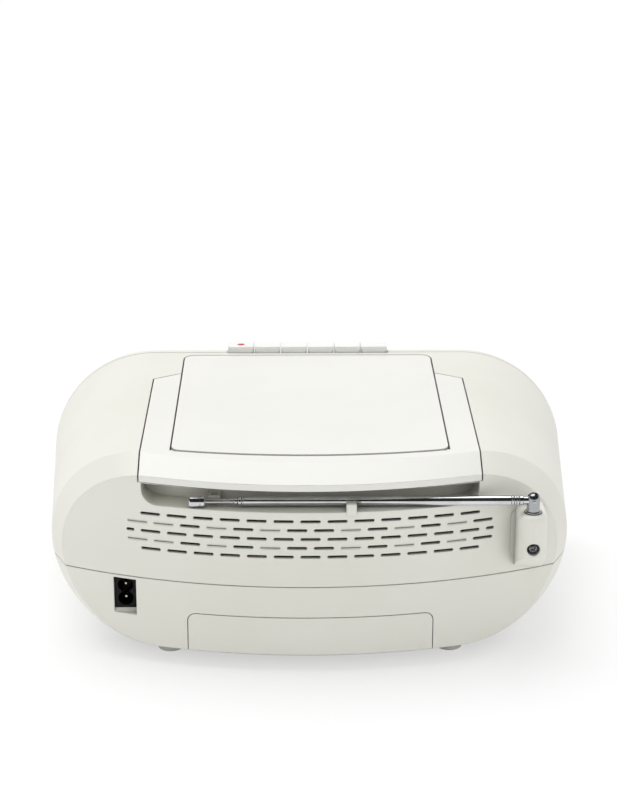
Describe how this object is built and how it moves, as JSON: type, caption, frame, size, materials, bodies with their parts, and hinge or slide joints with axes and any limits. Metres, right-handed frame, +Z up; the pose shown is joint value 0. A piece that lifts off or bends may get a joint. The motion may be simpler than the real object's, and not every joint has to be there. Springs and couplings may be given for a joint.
{
  "type": "cd radio cassette player",
  "caption": "Portable CD radio cassette player with a carrying handle, a top CD lid, piano keys, a front cassette door, rear aerial, mains inlet and battery door.",
  "frame": {"origin": "on the ground, under the middle of the object's outline", "axes": "+X to the user's right when facing the front, +Y towards the rear, +Z up"},
  "size_m": [0.35, 0.2288, 0.1424],
  "materials": {
    "cabinet_white": "moulded plastic, fine spark-eroded grain",
    "lid_white": "moulded plastic, satin gloss",
    "key_white": "moulded plastic, satin gloss",
    "dark_plastic": "moulded plastic, matte",
    "grey_plastic": "moulded plastic, matte",
    "chrome": "drawn brass tube, chrome plated",
    "steel": "turned steel",
    "zinc_steel": "zinc plated sheet steel",
    "clear_pane": "clear moulded polystyrene",
    "lcd": "liquid crystal glass",
    "rubber": "moulded rubber",
    "paper_cone": "pressed paper pulp",
    "magnet_steel": "painted steel basket and magnet",
    "circuit_board": "solder resist on laminate"
  },
  "bodies": {
    "cabinet": {"upper_cabinet": "cabinet_white", "lower_cabinet": "cabinet_white", "front_panel": "cabinet_white", "cd_bay": "grey_plastic", "handle_pins": "steel", "antenna_clip": "cabinet_white", "cd_motor": "zinc_steel", "pickup_rods": "steel", "battery_contacts": "steel", "ac_inlet": "dark_plastic", "ac_pins": "steel", "feet": "rubber", "case_screws": "zinc_steel", "power_transformer": "magnet_steel", "main_board": "circuit_board", "cassette_deck": "zinc_steel", "key_shaft": "steel", "tape_motor": "zinc_steel", "drive_belt": "rubber", "display_window": "clear_pane", "lcd_module": "lcd", "rotary_controls": "grey_plastic", "left_grille": "grey_plastic", "right_grille": "grey_plastic", "left_speaker": "magnet_steel", "right_speaker": "magnet_steel", "left_cone": "paper_cone", "right_cone": "paper_cone"},
    "handle": {"handle": "cabinet_white"},
    "lid": {"cd_lid": "lid_white"},
    "battery_door": {"battery_door": "cabinet_white"},
    "swivel": {"antenna_swivel": "chrome"},
    "aerial": {"antenna_tube": "chrome"},
    "stage_2": {"antenna_stage_2": "chrome"},
    "stage_3": {"antenna_stage_3": "chrome"},
    "stage_4": {"antenna_stage_4": "chrome"},
    "turntable": {"cd_turntable": "dark_plastic"},
    "sled": {"pickup_sled": "dark_plastic"},
    "cassette_door": {"cassette_door": "cabinet_white", "cassette_window": "clear_pane"},
    "flywheel": {"flywheel": "steel"},
    "motor_pulley": {"motor_pulley": "steel"},
    "supply_spindle": {"supply_spindle": "dark_plastic"},
    "takeup_spindle": {"takeup_spindle": "dark_plastic"},
    "head_carriage": {"head_carriage": "zinc_steel", "tape_head": "steel"},
    "pinch_roller": {"pinch_roller": "rubber"},
    "volume_knob": {"volume_knob": "grey_plastic"},
    "tuning_knob": {"tuning_knob": "grey_plastic"},
    "function_switch": {"function_switch": "grey_plastic"},
    "key_pause": {"key_pause": "key_white"},
    "key_stop_eject": {"key_stop_eject": "key_white"},
    "key_fast_forward": {"key_fast_forward": "key_white"},
    "key_rewind": {"key_rewind": "key_white"},
    "key_play": {"key_play": "key_white"},
    "key_record": {"key_record": "key_white"},
    "cd_back_button": {"cd_back_button": "grey_plastic"},
    "cd_play_button": {"cd_play_button": "grey_plastic"},
    "cd_stop_button": {"cd_stop_button": "grey_plastic"},
    "cd_next_button": {"cd_next_button": "grey_plastic"}
  },
  "joints": [
    {"name": "handle_lift", "type": "hinge", "parent": "cabinet", "child": "handle", "pos_m": [0, -0.04, 0.13019], "axis": [1, 0, 0], "range_deg": [0, 90]},
    {"name": "lid_open", "type": "hinge", "parent": "cabinet", "child": "lid", "pos_m": [0, 0.076, 0.12586], "axis": [-1, 0, 0], "range_deg": [0, 55]},
    {"name": "battery_door_slide", "type": "slide", "parent": "cabinet", "child": "battery_door", "axis": [0, 1, 0], "range_m": [0, 0.05]},
    {"name": "aerial_swivel", "type": "hinge", "parent": "cabinet", "child": "swivel", "pos_m": [-0.132, 0.104, 0.1057], "axis": [0, 0, 1], "range_deg": [0, 180], "deforming": ["antenna_clip"]},
    {"name": "aerial_tilt", "type": "hinge", "parent": "swivel", "child": "aerial", "pos_m": [-0.132, 0.104, 0.1057], "axis": [0, -1, 0], "range_deg": [0, 90]},
    {"name": "aerial_stage_2_slide", "type": "slide", "parent": "aerial", "child": "stage_2", "axis": [1, 0, 0], "range_m": [0, 0.135]},
    {"name": "aerial_stage_3_slide", "type": "slide", "parent": "stage_2", "child": "stage_3", "axis": [1, 0, 0], "range_m": [0, 0.135]},
    {"name": "aerial_stage_4_slide", "type": "slide", "parent": "stage_3", "child": "stage_4", "axis": [1, 0, 0], "range_m": [0, 0.135]},
    {"name": "turntable_spin", "type": "hinge", "parent": "cabinet", "child": "turntable", "pos_m": [0, -0.00543, 0.12491], "axis": [0, 0.051, 0.9987], "continuous": true},
    {"name": "pickup_slide", "type": "slide", "parent": "cabinet", "child": "sled", "axis": [1, 0, 0], "range_m": [0, 0.0335]},
    {"name": "cassette_door_open", "type": "hinge", "parent": "cabinet", "child": "cassette_door", "pos_m": [0, -0.1114, 0.05], "axis": [1, 0, 0], "range_deg": [0, 35]},
    {"name": "key_pause_press", "type": "hinge", "parent": "cabinet", "child": "key_pause", "pos_m": [-0.0456, -0.082, 0.126], "axis": [1, 0, 0], "range_deg": [0, 8], "stiffness_Nm_per_rad": 0.3, "springref_deg": -5.73},
    {"name": "key_stop_eject_press", "type": "hinge", "parent": "cabinet", "child": "key_stop_eject", "pos_m": [-0.02736, -0.082, 0.126], "axis": [1, 0, 0], "range_deg": [0, 8], "stiffness_Nm_per_rad": 0.3, "springref_deg": -5.73},
    {"name": "key_fast_forward_press", "type": "hinge", "parent": "cabinet", "child": "key_fast_forward", "pos_m": [-0.00912, -0.082, 0.126], "axis": [1, 0, 0], "range_deg": [0, 8], "stiffness_Nm_per_rad": 0.3, "springref_deg": -5.73},
    {"name": "key_rewind_press", "type": "hinge", "parent": "cabinet", "child": "key_rewind", "pos_m": [0.00912, -0.082, 0.126], "axis": [1, 0, 0], "range_deg": [0, 8], "stiffness_Nm_per_rad": 0.3, "springref_deg": -5.73},
    {"name": "key_play_press", "type": "hinge", "parent": "cabinet", "child": "key_play", "pos_m": [0.02736, -0.082, 0.126], "axis": [1, 0, 0], "range_deg": [0, 8], "stiffness_Nm_per_rad": 0.3, "springref_deg": -5.73},
    {"name": "key_record_press", "type": "hinge", "parent": "cabinet", "child": "key_record", "pos_m": [0.0456, -0.082, 0.126], "axis": [1, 0, 0], "range_deg": [0, 8], "stiffness_Nm_per_rad": 0.3, "springref_deg": -5.73},
    {"name": "head_slide", "type": "slide", "parent": "cabinet", "child": "head_carriage", "axis": [0, 0, -1], "range_m": [0, 0.006]},
    {"name": "pinch_roller_spin", "type": "hinge", "parent": "head_carriage", "child": "pinch_roller", "pos_m": [0.0225, -0.1, 0.1191], "axis": [0, 1, 0], "continuous": true},
    {"name": "flywheel_spin", "type": "hinge", "parent": "cabinet", "child": "flywheel", "pos_m": [0.0225, -0.0865, 0.107], "axis": [0, 1, 0], "continuous": true},
    {"name": "motor_spin", "type": "hinge", "parent": "cabinet", "child": "motor_pulley", "pos_m": [-0.034, -0.0865, 0.065], "axis": [0, 1, 0], "continuous": true},
    {"name": "supply_spin", "type": "hinge", "parent": "cabinet", "child": "supply_spindle", "pos_m": [-0.02125, -0.095, 0.083], "axis": [0, 1, 0], "continuous": true},
    {"name": "takeup_spin", "type": "hinge", "parent": "cabinet", "child": "takeup_spindle", "pos_m": [0.02125, -0.095, 0.083], "axis": [0, 1, 0], "continuous": true},
    {"name": "cd_back_button_press", "type": "slide", "parent": "cabinet", "child": "cd_back_button", "axis": [0, 1, 0], "range_m": [0, 0.0012], "stiffness_N_per_m": 400, "springref_m": -0.001},
    {"name": "cd_play_button_press", "type": "slide", "parent": "cabinet", "child": "cd_play_button", "axis": [0, 1, 0], "range_m": [0, 0.0012], "stiffness_N_per_m": 400, "springref_m": -0.001},
    {"name": "cd_stop_button_press", "type": "slide", "parent": "cabinet", "child": "cd_stop_button", "axis": [0, 1, 0], "range_m": [0, 0.0012], "stiffness_N_per_m": 400, "springref_m": -0.001},
    {"name": "cd_next_button_press", "type": "slide", "parent": "cabinet", "child": "cd_next_button", "axis": [0, 1, 0], "range_m": [0, 0.0012], "stiffness_N_per_m": 400, "springref_m": -0.001},
    {"name": "volume_turn", "type": "hinge", "parent": "cabinet", "child": "volume_knob", "pos_m": [0.047, -0.11, 0.0334], "axis": [0, 1, 0], "range_deg": [-135, 135]},
    {"name": "tuning_turn", "type": "hinge", "parent": "cabinet", "child": "tuning_knob", "pos_m": [-0.047, -0.11, 0.0334], "axis": [0, 1, 0], "continuous": true},
    {"name": "function_slide", "type": "slide", "parent": "cabinet", "child": "function_switch", "axis": [1, 0, 0], "range_m": [0, 0.01]}
  ],
  "couplings": [
    {"joint": "aerial_tilt", "follows": "aerial_swivel", "ratio": 0.5},
    {"joint": "key_play_press", "follows": "head_slide", "rad_per_m": 23.27},
    {"joint": "motor_spin", "follows": "flywheel_spin", "ratio": 3.75}
  ]
}
